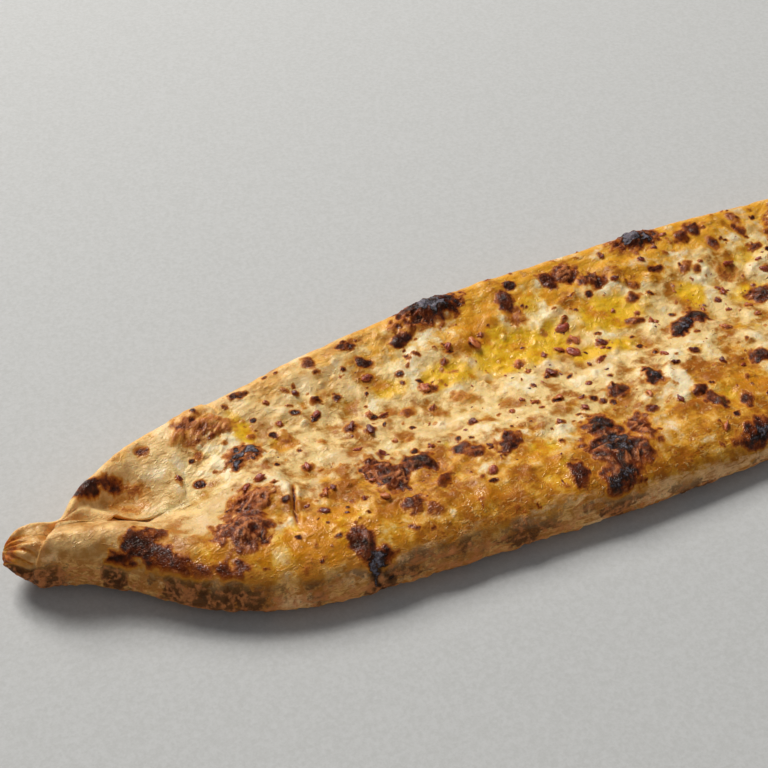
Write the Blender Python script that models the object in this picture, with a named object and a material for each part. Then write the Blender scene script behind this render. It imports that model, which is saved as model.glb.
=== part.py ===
"""Turkish pide: a long boat of baked dough with pinched, folded tails and a melted cheese filling.

The dough is one loft. Each cross-section runs from the flat underside up the outer wall, over the
rolled rim, down into the trough and up again on the other side. The cheese is a second loft that
lies in the trough and shares the dough's section lines, so the two never cross.
+X is along the boat, +Y across it, +Z up. The origin is on the table, under the middle.
"""
import bmesh
import bpy
import numpy as np

MM = 0.001

# Driving sizes (mm)
LENGTH = 490.0
HALF_WIDTH = 65.0
RIM_HEIGHT = 17.5
RIM_WIDTH_NEAR = 30.0
RIM_WIDTH_FAR = 13.0
CREST_INSET_NEAR = 0.60
CREST_INSET_FAR = 0.45
SHOULDER = 0.31
NEAR_SAG = 4.0
SAG_PLACE = 75.0
SAG_LENGTH = 95.0
VALLEY_SHIFT = 15.0
POCKET_SHIFT = 8.0
POCKET_PLACE = 43.0
POCKET_LENGTH = 17.0
NOSE_ROUND = 12.0
CHEESE_START = 64.0
CHEESE_ROUND = 34.0
TROUGH_SHUT = 0.10
CHEESE_THICK = 3.2
CHEESE_EDGE = 1.1
GAP = 0.35
STATIONS_PER_HALF = 30

# A tail is set at these distances from its tip (mm). Widths are shares of HALF_WIDTH, heights
# shares of RIM_HEIGHT. Near is the side toward -Y, far the side toward +Y.
REACH = (0, 8, 20, 34, 48, 66, 88, 115, 150, 195, 245)
WIDTH_NEAR = (0.14, 0.16, 0.22, 0.35, 0.56, 0.75, 0.86, 0.92, 0.97, 1.03, 1.04)
WIDTH_FAR = (0.14, 0.17, 0.21, 0.34, 0.47, 0.57, 0.67, 0.77, 0.85, 0.92, 0.93)
FOLD_LOW = (1.02, 1.12, 1.22, 1.22, 1.18, 1.12, 1.06, 1.02, 1.00, 1.00, 1.00)
FOLD_HIGH = (1.02, 1.10, 1.16, 1.20, 1.19, 1.13, 1.05, 1.00, 1.00, 1.00, 1.00)
FLOOR = (0.98, 1.04, 1.08, 0.84, 0.56, 0.78, 0.80, 0.66, 0.57, 0.53, 0.52)
LIFT = (0.20, 0.15, 0.12, 0.08, 0.04, 0.01, 0.00, 0.00, 0.00, 0.00, 0.00)
FLAT = (0.25, 0.30, 0.38, 0.50, 0.60, 0.66, 0.70, 0.72, 0.74, 0.74, 0.74)
SWAY = (0.14, 0.12, 0.08, 0.05, 0.04, 0.04, 0.03, 0.03, 0.03, 0.02, 0.00)
SWAY_RIGHT = -0.7

# Lines of the mesh between one section point and the next, from the underside's middle round to
# the trough's middle; the other side mirrors them.
LINE_STEPS = (1, 1, 1, 1, 2, 2, 2, 2, 3, 3)
CHEESE_FIRST_POINT = 8

DOUGH = dict(color=(0.62, 0.37, 0.14), roughness=0.62)
CHEESE = dict(color=(0.78, 0.58, 0.24), roughness=0.38)


def along(sizes, reach):
    """Size at each reach: a smooth curve through the set sizes, with Hermite pieces."""
    places = np.array(REACH, float)
    sizes = np.array(sizes, float)
    slopes = np.gradient(sizes, places)
    slopes[-1] = 0.0
    piece = np.clip(np.searchsorted(places, reach, side="right") - 1, 0, len(places) - 2)
    span = places[piece + 1] - places[piece]
    t = (reach - places[piece]) / span
    start, end = sizes[piece], sizes[piece + 1]
    start_slope, end_slope = slopes[piece] * span, slopes[piece + 1] * span
    return (
        (2 * t**3 - 3 * t**2 + 1) * start
        + (t**3 - 2 * t**2 + t) * start_slope
        + (3 * t**2 - 2 * t**3) * end
        + (t**3 - t**2) * end_slope
    )


def station_places():
    """X of every cross-section, closer together toward the two tips."""
    half = 0.5 * LENGTH
    share = np.linspace(0.0, 1.0, STATIONS_PER_HALF)[1:]
    reach = half * share**1.5
    return np.concatenate([reach - half, (half - reach)[::-1][1:]])


def sizes_at(x):
    """Every size of the cross-sections at the places x, as a dictionary of arrays (mm)."""
    right = x > 0.0
    reach = 0.5 * LENGTH - np.abs(x)
    nose = np.sqrt(1.0 - np.clip(1.0 - reach / NOSE_ROUND, 0.0, 1.0) ** 2)
    low, high = along(FOLD_LOW, reach), along(FOLD_HIGH, reach)
    lift = along(LIFT, reach).clip(0.0)
    pocket = POCKET_SHIFT * np.exp(-(((reach - POCKET_PLACE) / POCKET_LENGTH) ** 2))
    pocket = np.where(right, -pocket, pocket)
    sag = NEAR_SAG * np.exp(-(((x - SAG_PLACE) / SAG_LENGTH) ** 2))
    core = 0.5 * (lift + along(FLOOR, reach))
    return dict(
        reach=reach,
        near=HALF_WIDTH * along(WIDTH_NEAR, reach) * nose,
        far=HALF_WIDTH * along(WIDTH_FAR, reach) * nose,
        crest_near=RIM_HEIGHT * (core + (np.where(right, high, low) - core) * nose) - sag,
        crest_far=RIM_HEIGHT * (core + (np.where(right, low, high) - core) * nose),
        floor=RIM_HEIGHT * (core + (along(FLOOR, reach) - core) * nose),
        base=RIM_HEIGHT * (core + (lift - core) * nose),
        flat=along(FLAT, reach),
        middle=HALF_WIDTH * along(SWAY, reach) * np.where(right, SWAY_RIGHT, 1.0),
        trough=trough_share(reach),
        valley=VALLEY_SHIFT * (trough_share(reach) - TROUGH_SHUT) + pocket,
    )


def trough_share(reach):
    """How open the trough is: 1 along the boat, a rounded end, and a narrow fold in the tail."""
    inside = np.clip((reach - CHEESE_START) / CHEESE_ROUND, 0.0, 1.0)
    return TROUGH_SHUT + (1.0 - TROUGH_SHUT) * np.sqrt(1.0 - (1.0 - inside) ** 2)


def half_section(s, width, crest, rim_width, inset, side):
    """Section points on one side: underside, outer wall, rim crest, inner slope, trough. The
    inner slope is half a cosine wave from the valley up to the crest."""
    wall = crest - s["base"]
    rim = np.minimum(rim_width, 0.82 * width)
    crest_place = width - inset * rim
    foot = (width - rim) * s["trough"]
    valley = side * s["valley"]

    def inner(place):
        share = (place - valley) / (crest_place - valley)
        return place, s["floor"] + (crest - s["floor"]) * 0.5 * (1.0 - np.cos(np.pi * share))

    points = [
        (0.50 * s["flat"] * width, s["base"]),
        (s["flat"] * width, s["base"]),
        ((0.35 * s["flat"] + 0.65) * width, s["base"] + 0.10 * wall),
        (width, s["base"] + 0.30 * wall),
        (width - SHOULDER * inset * rim, s["base"] + 0.80 * wall),
        (crest_place, crest),
        inner(0.5 * (crest_place + foot)),
        inner(foot),
        inner(0.5 * (foot + valley)),
    ]
    return [np.stack([s["middle"] + side * y, z], axis=1) for y, z in points]


def section_points(s):
    """The closed cross-section's points, near side first, as (stations, points, 2)."""
    near = half_section(
        s, s["near"], s["crest_near"], RIM_WIDTH_NEAR, CREST_INSET_NEAR, -1.0
    )
    far = half_section(s, s["far"], s["crest_far"], RIM_WIDTH_FAR, CREST_INSET_FAR, 1.0)
    underside = np.stack([s["middle"], s["base"]], axis=1)
    trough = np.stack([s["middle"] + s["valley"], s["floor"]], axis=1)
    return np.stack([underside, *near, trough, *far[::-1]], axis=1)


def dough_lines(s):
    """A smooth closed line through each cross-section's points (Catmull-Rom pieces)."""
    points = section_points(s)
    steps = LINE_STEPS + LINE_STEPS[::-1]
    lines = []
    for k, count in enumerate(steps):
        before, start, end, after = (np.roll(points, 1 - k - n, axis=1)[:, 0] for n in range(4))
        for t in np.arange(count) / count:
            lines.append(
                start
                + 0.5 * t * (end - before)
                + t**2 * (before - 2.5 * start + 2.0 * end - 0.5 * after)
                + 0.5 * t**3 * (3.0 * (start - end) + after - before)
            )
    lines = np.stack(lines, axis=1)
    lines[:, :, 0] -= 0.5 * (lines[:, :, 0].min() + lines[:, :, 0].max())
    lines[:, :, 1] = np.maximum(lines[:, :, 1], s["base"][:, None])
    return lines


def cheese_range():
    """First and last line of the cheese among the dough's lines."""
    first = sum(LINE_STEPS[:CHEESE_FIRST_POINT])
    last = sum(LINE_STEPS) * 2 - first
    return first, last


def cheese_thickness(count):
    """Thickness on each of the cheese's lines: thin at both edges, full in the middle."""
    across = np.linspace(0.0, np.pi, count)
    return CHEESE_EDGE + (CHEESE_THICK - CHEESE_EDGE) * np.sqrt(np.sin(across).clip(0.0))


def material(name, color, roughness):
    """A plain Principled material for one sub-part."""
    made = bpy.data.materials.new(name)
    made.use_nodes = True
    shader = made.node_tree.nodes["Principled BSDF"]
    shader.inputs["Base Color"].default_value = (*color, 1.0)
    shader.inputs["Roughness"].default_value = roughness
    shader.inputs["Metallic"].default_value = 0.0
    return made


def add_loft(name, rings, collection, finish, caps):
    """A closed solid from equal rings of points; caps close each end, by tip or by strip."""
    mesh = bmesh.new()
    verts = [[mesh.verts.new(point) for point in ring] for ring in rings * MM]
    count = len(verts[0])
    for ring, following in zip(verts, verts[1:]):
        for i in range(count):
            j = (i + 1) % count
            mesh.faces.new((ring[i], ring[j], following[j]))
            mesh.faces.new((ring[i], following[j], following[i]))
    for ring, end in zip((verts[0], verts[-1]), caps):
        if end is None:
            for i in range(count // 2 - 1):
                mesh.faces.new((ring[i], ring[i + 1], ring[-2 - i], ring[-1 - i]))
        else:
            tip = mesh.verts.new(end * MM)
            for i in range(count):
                mesh.faces.new((ring[i], ring[(i + 1) % count], tip))
    bmesh.ops.recalc_face_normals(mesh, faces=mesh.faces)
    data = bpy.data.meshes.new(name)
    mesh.to_mesh(data)
    mesh.free()
    data.materials.append(finish)
    solid = bpy.data.objects.new(name, data)
    collection.objects.link(solid)
    return solid


def with_x(x, lines):
    """Points in space from the cross-sections' Y and Z."""
    return np.dstack([np.broadcast_to(x[:, None], lines.shape[:2]), lines])


def build():
    """Make the two solids: the dough, and the cheese lying in it."""
    for old in list(bpy.data.objects):
        bpy.data.objects.remove(old, do_unlink=True)
    collection = bpy.data.collections.new("turkish_pide")
    bpy.context.scene.collection.children.link(collection)

    x = station_places()
    s = sizes_at(x)
    lines = dough_lines(s)
    first, last = cheese_range()
    thickness = cheese_thickness(last - first + 1)
    filled = s["reach"] >= CHEESE_START

    cheese_top = with_x(x[filled], lines[filled, first : last + 1])
    cheese_under = cheese_top - thickness[:, None] * np.array([0.0, 0.0, 1.0])
    lines[np.ix_(filled, np.arange(first, last + 1), [1])] -= (thickness + GAP)[None, :, None]

    tips = []
    for place in (-0.5 * LENGTH, 0.5 * LENGTH):
        end = sizes_at(np.array([place]))
        tips.append(np.array([place, end["middle"][0], end["base"][0]]))
    add_loft("dough", with_x(x, lines), collection, material("baked_dough", **DOUGH), tips)
    cheese_rings = np.concatenate([cheese_top, cheese_under[:, ::-1]], axis=1)
    add_loft("cheese", cheese_rings, collection, material("melted_cheese", **CHEESE), (None, None))


build()
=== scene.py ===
# %% [markdown]
# # A Turkish pide, straight from the oven
# A pide is a long boat of bread dough. Its two sides are rolled into rims, its two ends are pinched
# into tails, and melted cheese fills the trough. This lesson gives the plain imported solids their
# baked look: every surface is worked out with numpy from a few sizes of the solids, then coloured
# by node materials that read masks (toasted, charred, buttery, creamy) stored on the points.

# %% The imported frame
import math

import bpy
import numpy as np
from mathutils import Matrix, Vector


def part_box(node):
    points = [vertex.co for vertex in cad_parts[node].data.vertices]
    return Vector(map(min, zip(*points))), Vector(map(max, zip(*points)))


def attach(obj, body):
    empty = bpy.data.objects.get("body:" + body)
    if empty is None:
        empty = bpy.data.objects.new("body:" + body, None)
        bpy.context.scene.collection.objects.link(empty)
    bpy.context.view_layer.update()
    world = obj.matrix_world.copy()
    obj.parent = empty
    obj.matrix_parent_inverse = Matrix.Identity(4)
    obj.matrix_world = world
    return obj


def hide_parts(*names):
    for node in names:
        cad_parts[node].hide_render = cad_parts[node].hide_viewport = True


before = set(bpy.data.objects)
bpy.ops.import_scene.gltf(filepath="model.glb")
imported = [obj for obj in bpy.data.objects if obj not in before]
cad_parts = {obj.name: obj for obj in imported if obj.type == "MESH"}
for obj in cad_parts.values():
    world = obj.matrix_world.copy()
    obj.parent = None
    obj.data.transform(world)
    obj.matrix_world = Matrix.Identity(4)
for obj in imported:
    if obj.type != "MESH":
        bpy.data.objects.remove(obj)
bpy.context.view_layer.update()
dough_low, dough_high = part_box("dough")
MM = 0.001
LENGTH = (dough_high.x - dough_low.x) / MM
WIDTH = (dough_high.y - dough_low.y) / MM
print(f"frame: dough {LENGTH:.0f} x {WIDTH:.0f} mm, nodes {sorted(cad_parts)}")

# %% [markdown]
# ## Sizes along the boat
# One tail is described by how wide, high and thick it is at eleven distances from its tip, as
# shares of two driving sizes. A smooth curve through those sizes gives every cross-section
# between them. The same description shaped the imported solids, so the skins made here lie on them.

# %% Sizes of the tail and the boat
HALF_WIDTH = 65.0
RIM_HEIGHT = 17.5
RIM_WIDTH_NEAR = 30.0
RIM_WIDTH_FAR = 13.0
CREST_INSET_NEAR = 0.60
CREST_INSET_FAR = 0.45
SHOULDER = 0.31
NEAR_SAG = 4.0
SAG_PLACE = 75.0
SAG_LENGTH = 95.0
VALLEY_SHIFT = 15.0
POCKET_SHIFT = 8.0
POCKET_PLACE = 43.0
POCKET_LENGTH = 17.0
NOSE_ROUND = 12.0
CHEESE_START = 64.0
CHEESE_ROUND = 34.0
TROUGH_SHUT = 0.10

REACH = (0, 8, 20, 34, 48, 66, 88, 115, 150, 195, 245)
WIDTH_NEAR = (0.14, 0.16, 0.22, 0.35, 0.56, 0.75, 0.86, 0.92, 0.97, 1.03, 1.04)
WIDTH_FAR = (0.14, 0.17, 0.21, 0.34, 0.47, 0.57, 0.67, 0.77, 0.85, 0.92, 0.93)
FOLD_LOW = (1.02, 1.12, 1.22, 1.22, 1.18, 1.12, 1.06, 1.02, 1.00, 1.00, 1.00)
FOLD_HIGH = (1.02, 1.10, 1.16, 1.20, 1.19, 1.13, 1.05, 1.00, 1.00, 1.00, 1.00)
FLOOR = (0.98, 1.04, 1.08, 0.84, 0.56, 0.78, 0.80, 0.66, 0.57, 0.53, 0.52)
LIFT = (0.20, 0.15, 0.12, 0.08, 0.04, 0.01, 0.00, 0.00, 0.00, 0.00, 0.00)
FLAT = (0.25, 0.30, 0.38, 0.50, 0.60, 0.66, 0.70, 0.72, 0.74, 0.74, 0.74)
SWAY = (0.14, 0.12, 0.08, 0.05, 0.04, 0.04, 0.03, 0.03, 0.03, 0.02, 0.00)
SWAY_RIGHT = -0.7


def along(sizes, reach):
    """Size at each reach: cubic Hermite pieces through the set sizes, with the slopes of a
    parabola through each size and its neighbours."""
    places = np.array(REACH, float)
    sizes = np.array(sizes, float)
    slopes = np.gradient(sizes, places)
    slopes[-1] = 0.0
    piece = np.clip(np.searchsorted(places, reach, side="right") - 1, 0, len(places) - 2)
    span = places[piece + 1] - places[piece]
    t = (reach - places[piece]) / span
    start, end = sizes[piece], sizes[piece + 1]
    start_slope, end_slope = slopes[piece] * span, slopes[piece + 1] * span
    return (
        (2 * t**3 - 3 * t**2 + 1) * start
        + (t**3 - 2 * t**2 + t) * start_slope
        + (3 * t**2 - 2 * t**3) * end
        + (t**3 - t**2) * end_slope
    )


def trough_share(reach):
    """How open the trough is: a quarter circle from a narrow fold up to fully open."""
    inside = np.clip((reach - CHEESE_START) / CHEESE_ROUND, 0.0, 1.0)
    return TROUGH_SHUT + (1.0 - TROUGH_SHUT) * np.sqrt(1.0 - (1.0 - inside) ** 2)


def sizes_at(x):
    """Every size of the cross-sections at the places x. The nose shrinks as a half circle."""
    right = x > 0.0
    reach = 0.5 * LENGTH - np.abs(x)
    nose = np.sqrt(1.0 - np.clip(1.0 - reach / NOSE_ROUND, 0.0, 1.0) ** 2)
    low, high = along(FOLD_LOW, reach), along(FOLD_HIGH, reach)
    lift, floor = along(LIFT, reach).clip(0.0), along(FLOOR, reach)
    pocket = POCKET_SHIFT * np.exp(-(((reach - POCKET_PLACE) / POCKET_LENGTH) ** 2))
    pocket = np.where(right, -pocket, pocket)
    sag = NEAR_SAG * np.exp(-(((x - SAG_PLACE) / SAG_LENGTH) ** 2))
    core = 0.5 * (lift + floor)
    return dict(
        reach=reach,
        near=HALF_WIDTH * along(WIDTH_NEAR, reach) * nose,
        far=HALF_WIDTH * along(WIDTH_FAR, reach) * nose,
        crest_near=RIM_HEIGHT * (core + (np.where(right, high, low) - core) * nose) - sag,
        crest_far=RIM_HEIGHT * (core + (np.where(right, low, high) - core) * nose),
        floor=RIM_HEIGHT * (core + (floor - core) * nose),
        base=RIM_HEIGHT * (core + (lift - core) * nose),
        flat=along(FLAT, reach),
        middle=HALF_WIDTH * along(SWAY, reach) * np.where(right, SWAY_RIGHT, 1.0),
        trough=trough_share(reach),
        valley=VALLEY_SHIFT * (trough_share(reach) - TROUGH_SHUT) + pocket,
    )


# %% [markdown]
# ## The cross-section
# A section is a closed curve through twenty points: underside, outer wall, rim crest, inner slope,
# trough, and back down the other side. Catmull-Rom pieces join them smoothly. Because the curve
# can be read at any parameter, the same function serves a coarse underside and a fine rim.

# %% Section points and curve
SECTION_POINTS = 20
CREST, FOOT, TROUGH_MIDDLE = 6, 8, 10


def half_section(s, width, crest, rim_width, inset, side):
    """Section points on one side: underside, outer wall, rim crest, inner slope, trough. The
    inner slope is half a cosine wave from the valley up to the crest."""
    wall = crest - s["base"]
    rim = np.minimum(rim_width, 0.82 * width)
    crest_place = width - inset * rim
    foot = (width - rim) * s["trough"]
    valley = side * s["valley"]

    def inner(place):
        share = (place - valley) / (crest_place - valley)
        return place, s["floor"] + (crest - s["floor"]) * 0.5 * (1.0 - np.cos(np.pi * share))

    points = [
        (0.50 * s["flat"] * width, s["base"]),
        (s["flat"] * width, s["base"]),
        ((0.35 * s["flat"] + 0.65) * width, s["base"] + 0.10 * wall),
        (width, s["base"] + 0.30 * wall),
        (width - SHOULDER * inset * rim, s["base"] + 0.80 * wall),
        (crest_place, crest),
        inner(0.5 * (crest_place + foot)),
        inner(foot),
        inner(0.5 * (foot + valley)),
    ]
    return [np.stack([s["middle"] + side * y, z], axis=1) for y, z in points]


def section_points(s):
    """The closed section's points, near side first, as (stations, points, 2)."""
    near = half_section(
        s, s["near"], s["crest_near"], RIM_WIDTH_NEAR, CREST_INSET_NEAR, -1.0
    )
    far = half_section(s, s["far"], s["crest_far"], RIM_WIDTH_FAR, CREST_INSET_FAR, 1.0)
    underside = np.stack([s["middle"], s["base"]], axis=1)
    trough = np.stack([s["middle"] + s["valley"], s["floor"]], axis=1)
    return np.stack([underside, *near, trough, *far[::-1]], axis=1)


def curve_at(points, where):
    """The section curve at each parameter: its whole part names a span, its fraction t goes along
    it, and the four points around the span are blended by the Catmull-Rom cubic."""
    span = np.floor(where).astype(int)
    t = (where - span)[None, :, None]
    before, start, end, after = (points[:, (span + n) % SECTION_POINTS] for n in (-1, 0, 1, 2))
    return (
        start
        + 0.5 * t * (end - before)
        + t**2 * (before - 2.5 * start + 2.0 * end - 0.5 * after)
        + 0.5 * t**3 * (3.0 * (start - end) + after - before)
    )


def skin(x, where):
    """Points (stations, parameters, 3) of the boat's outside at the places x, in mm, centred
    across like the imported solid."""
    s = sizes_at(x)
    lines = curve_at(section_points(s), where)
    lines[:, :, 0] += 0.5 * (dough_low.y + dough_high.y) / MM - SKIN_CENTRE
    lines[:, :, 1] = np.maximum(lines[:, :, 1], s["base"][:, None])
    return np.dstack([np.broadcast_to(x[:, None], lines.shape[:2]), lines])


SKIN_CENTRE = 0.0
probe = skin(np.linspace(-0.4, 0.4, 161) * LENGTH, np.arange(0.0, SECTION_POINTS, 0.25))
SKIN_CENTRE = 0.5 * (probe[:, :, 1].min() + probe[:, :, 1].max())
print(f"skin: {np.ptp(probe[:, :, 1]):.1f} mm wide, off centre by {SKIN_CENTRE:.2f} mm")

# %% [markdown]
# ## Noise
# Baked food is uneven at every scale. Hills are gradient noise: each corner of a lattice has a
# random slope, and the slopes are blended between corners. Adding finer and finer hills gives a
# fractal, and folding the hills at zero gives the sharp ridges of wrinkled skin.

# %% Hills, ridges and bubbles
LATTICE = (128, 64, 16)


def hills(points, size, seed):
    """Gradient noise on a lattice of cells of the given size (mm), blended with
    6t^5 - 15t^4 + 10t^3 along each axis. Runs from about -1 to 1."""
    slopes = np.random.default_rng(seed).normal(size=(*LATTICE, 3)).astype(np.float32)
    slopes /= np.linalg.norm(slopes, axis=-1, keepdims=True)
    place = (points / size + 640.0).astype(np.float32)
    cell = np.floor(place)
    t = place - cell
    cell = cell.astype(int)
    fade = t * t * t * (t * (t * 6.0 - 15.0) + 10.0)
    total = np.zeros(points.shape[:-1], np.float32)
    for corner in np.ndindex(2, 2, 2):
        at = [(cell[..., k] + corner[k]) % LATTICE[k] for k in range(3)]
        slope = slopes[at[0], at[1], at[2]]
        weight = np.ones_like(total)
        for k in range(3):
            weight *= fade[..., k] if corner[k] else 1.0 - fade[..., k]
        total += weight * np.sum(slope * (t - np.array(corner, np.float32)), axis=-1)
    return 1.6 * total


def fractal(points, size, seed, layers=4, gain=0.5):
    """Hills summed over layers, each half the size and gain times the height of the last."""
    total = sum(gain**k * hills(points, size * 0.5**k, seed + 31 * k) for k in range(layers))
    return total / sum(gain**k for k in range(layers)) * 1.4


def ridges(points, size, seed, layers=3):
    """Folded hills, (1 - |h|)^2: sharp crests between rounded hollows. Runs from 0 to 1."""
    total = sum(0.5**k * (1.0 - np.abs(hills(points, size * 0.5**k, seed + 17 * k)).clip(0, 1)) ** 2
                for k in range(layers))
    return total / sum(0.5**k for k in range(layers))


def bubbles(points, size, seed):
    """Domes round scattered centres, one to a cell of the plan: the largest over the nine nearest
    cells of (1 - (d / r)^2), with a random radius r."""
    rng = np.random.default_rng(seed)
    shift = rng.uniform(0.1, 0.9, (256, 128, 2)).astype(np.float32)
    radius = rng.uniform(0.15, 0.62, (256, 128)).astype(np.float32)
    place = (points[..., :2] / size + 512.0).astype(np.float32)
    cell = np.floor(place).astype(int)
    dome = np.zeros(points.shape[:-1], np.float32)
    for across in np.ndindex(3, 3):
        i, j = cell[..., 0] + across[0] - 1, cell[..., 1] + across[1] - 1
        centre = np.stack([i, j], axis=-1) + shift[i % 256, j % 128]
        gap = np.sum((place - centre) ** 2, axis=-1)
        dome = np.maximum(dome, 1.0 - gap / radius[i % 256, j % 128] ** 2)
    return dome


def step(value, low, high):
    """0 below low, 1 above high, and 3t^2 - 2t^3 between them."""
    t = np.clip((value - low) / (high - low), 0.0, 1.0)
    return t * t * (3.0 - 2.0 * t)


print(f"noise: hills at three places {hills(np.array([[1.0, 2, 3], [40, 5, 6], [7, 80, 9]]), 8.0, 1)}")

# %% [markdown]
# ## Where the oven left its marks
# Browned and charred spots sit where bubbles rose toward the fire. Each is an uneven ellipse: its
# place, size and turn are listed for the half that was looked at closely, and drawn at random
# on the rest. A spot colours the skin, lifts it as a blister, and wrinkles it like leather.

# %% Spots listed
# x, y, half length, half width (mm), turn (degrees), browned, charred, rise (mm), leathery
MARKS = [
    (-59, 55, 12, 6, 2, 1.0, 1.0, 2.8, 0.5), (-70, 51, 8, 5, 10, 0.45, 0.0, 1.0, 0.8),
    (37, 55, 9, 5, -3, 0.9, 1.0, 1.8, 0.9), (27, 54, 4, 5, 0, 0.55, 0.1, 0.8, 0.4),
    (-157, 15, 6.5, 4, 15, 0.7, 1.5, 0.9, 0.1), (24, 5, 6, 3, 25, 1.0, 1.0, 1.2, 0.5),
    (34, 8, 4, 4, -10, 1.0, 0.7, 1.3, 0.5), (-6, -17, 3, 5, 0, 1.0, 0.9, 1.0, 0.2),
    (-40, -31, 5, 6, -10, 1.0, 0.8, 1.0, 0.9), (-40, -43, 9, 10, -10, 1.0, 0.85, 1.2, 1.0),
    (-46, -54, 8, 6, 20, 1.0, 0.85, 0.8, 0.8), (-28, -39, 4, 7, -15, 1.0, 0.4, 1.2, 1.0),
    (-33, -48, 2, 5, 10, 1.0, 0.2, 0.8, 0.6), (11, -58, 7, 4, 5, 0.9, 1.0, 0.8, 0.5),
    (64, 7, 5, 4, 10, 1.0, 0.7, 1.0, 0.7), (37, -25, 4, 3, 0, 0.9, 0.7, 0.8, 0.4),
    (-141, -43, 4, 5, 0, 1.0, 0.6, 0.8, 0.7), (-140, -49, 6, 5, 0, 1.0, 0.9, 0.7, 0.5),
    (-105, -17, 5, 5, -30, 1.0, 0.7, 1.3, 0.7), (-118, -17, 6, 8, 12, 1.2, 0.5, 1.5, 1.0),
    (-121, -12, 4, 3, 0, 0.7, 0.0, 0.8, 0.2), (-166, -10, 7, 6, 30, 0.75, 0.0, 1.5, 1.0),
    (-173, -20, 9, 7, 35, 0.95, 0.15, 1.8, 1.0), (-176, -27, 5, 4, 0, 0.5, 0.0, 0.6, 0.8),
    (-164, 33, 8, 4.5, -15, 0.52, 0.0, 0.6, 1.0), (-169, 36, 4, 1.4, 20, 0.85, 0.2, 0.4, 0.3),
    (-171, 30, 6, 3, -20, 0.42, 0.0, 0.3, 0.8), (-206, -10, 5, 4, 0, 0.9, 0.1, 1.0, 1.0),
    (-200, -9, 4, 3, 0, 0.8, 0.0, 0.8, 1.0), (-203, -17, 4, 5, 0, 0.85, 0.1, 0.8, 0.9),
    (-200, -24, 5, 4, 5, 0.85, 0.1, 0.8, 0.8), (-194, -30, 4, 3, 0, 0.85, 0.1, 0.3, 0.5),
    (-184, -37, 5, 7, 0, 0.8, 0.1, 0.5, 0.4), (-216, -12, 3.5, 3.5, 0, 1.0, 0.3, 0.0, 0.0),
    (-161, -46, 3, 6, 0, 0.45, 0.0, 0.0, 0.0), (-204, 22.5, 5, 2.3, -8, 0.72, 0.1, 0.4, 0.4),
    (-196, 20, 4, 1.8, -5, 0.42, 0.0, 0.2, 0.4),
    # The faint spot at (-199, 15) darkens the pocket under the back flap: painted shade.
    (-199, 15, 6, 4, -8, 0.26, 0.0, 0.0, 0.0), (-212, 22, 5, 2.6, 25, 0.9, 0.4, 0.6, 0.0),
    (-188, 31, 2.2, 1.4, 0, 0.8, 0.1, 0.3, 0.0), (-146, 44, 3, 1.5, 0, 0.8, 0.1, 0.3, 0.0),
    (-9, 49, 3, 4, 0, 0.95, 0.1, 0.9, 0.6), (-1, 50, 5, 4, 0, 0.85, 0.1, 1.0, 1.0),
    (7, 43, 5, 3, -25, 1.0, 0.3, 1.0, 0.8), (-31, 47, 3, 4, -20, 0.95, 0.1, 0.9, 0.6),
    (-25, 53, 2, 2, 0, 0.8, 0.0, 0.5, 0.0), (-99, 50, 4, 2, 0, 0.8, 0.1, 0.4, 0.3),
    (-96, 41, 3, 2, -40, 0.95, 0.1, 0.5, 0.3), (-78, 45, 4, 2, 10, 1.0, 0.3, 0.6, 0.3),
    (-115, 48, 2, 3, 0, 0.6, 0.0, 0.2, 0.0), (54, 48, 3, 3, 0, 0.8, 0.1, 0.7, 0.5),
    (61, 49, 3, 3, 0, 0.85, 0.1, 0.9, 0.5), (64, 39, 2, 3, 0, 0.75, 0.0, 0.6, 0.4),
    (79, 41, 2, 2, 0, 0.7, 0.0, 0.6, 0.3), (81, 48, 2, 3, 0, 0.6, 0.0, 0.6, 0.3),
    (-118, -35, 4, 3, 0, 0.9, 0.1, 0.8, 0.7), (-113, -40, 3, 3, 0, 0.6, 0.0, 0.3, 0.3),
    (-73, -24, 5, 3, 20, 0.95, 0.1, 1.1, 0.8), (-86, -22, 4, 3, -20, 0.8, 0.0, 0.8, 0.7),
    (-89, -17, 3, 2, 0, 0.85, 0.0, 0.6, 0.5), (-22, -17, 4, 3, 0, 0.95, 0.2, 1.1, 0.7),
    (-60, -48, 3, 5, -20, 0.9, 0.1, 0.4, 0.5), (6, -39, 3, 4, 0, 0.95, 0.3, 1.0, 0.7),
    (3, -32, 3, 2, 30, 0.95, 0.0, 0.8, 0.5), (16, -44, 2, 4, -20, 0.75, 0.0, 0.4, 0.2),
    (-31, 39, 4, 4, 0, 0.45, 0.0, -0.6, 0.0), (60, 24, 4, 3, 0, 0.4, 0.0, -0.5, 0.0),
    (17, 28, 3, 2, 20, 0.7, 0.0, 0.4, 0.2), (21, 34, 2, 2, 0, 0.6, 0.0, 0.9, 0.0),
    (34, 37, 3, 1.5, 0, 0.9, 0.0, 0.6, 0.3), (46, 33, 3, 2, 20, 0.6, 0.0, 0.6, 0.2),
    (79, 31, 3, 1.5, 10, 0.7, 0.0, 0.6, 0.2), (10, 17, 3, 2, 0, 0.65, 0.0, 0.8, 0.3),
    (3, -58, 4, 2, 0, 0.6, 0.0, 0.2, 0.0), (-88, -55, 5, 4, 0, 0.55, 0.2, 0.2, 0.2),
    (-118, -52, 7, 4, 0, 0.30, 0.15, 0.0, 0.0), (-102, -29, 4, 2, 30, 0.75, 0.0, 0.6, 0.6),
    (-141, 17, 4, 4, 0, 0.35, 0.0, -0.4, 0.0), (-243, 12, 3, 5, 0, 0.4, 0.0, 0.0, 0.0),
    (-93, 12, 3, 2, 0, 0.55, 0.0, 0.9, 0.3), (-72, 10, 4, 3, 0, 0.35, 0.0, 1.2, 0.5),
]
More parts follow.
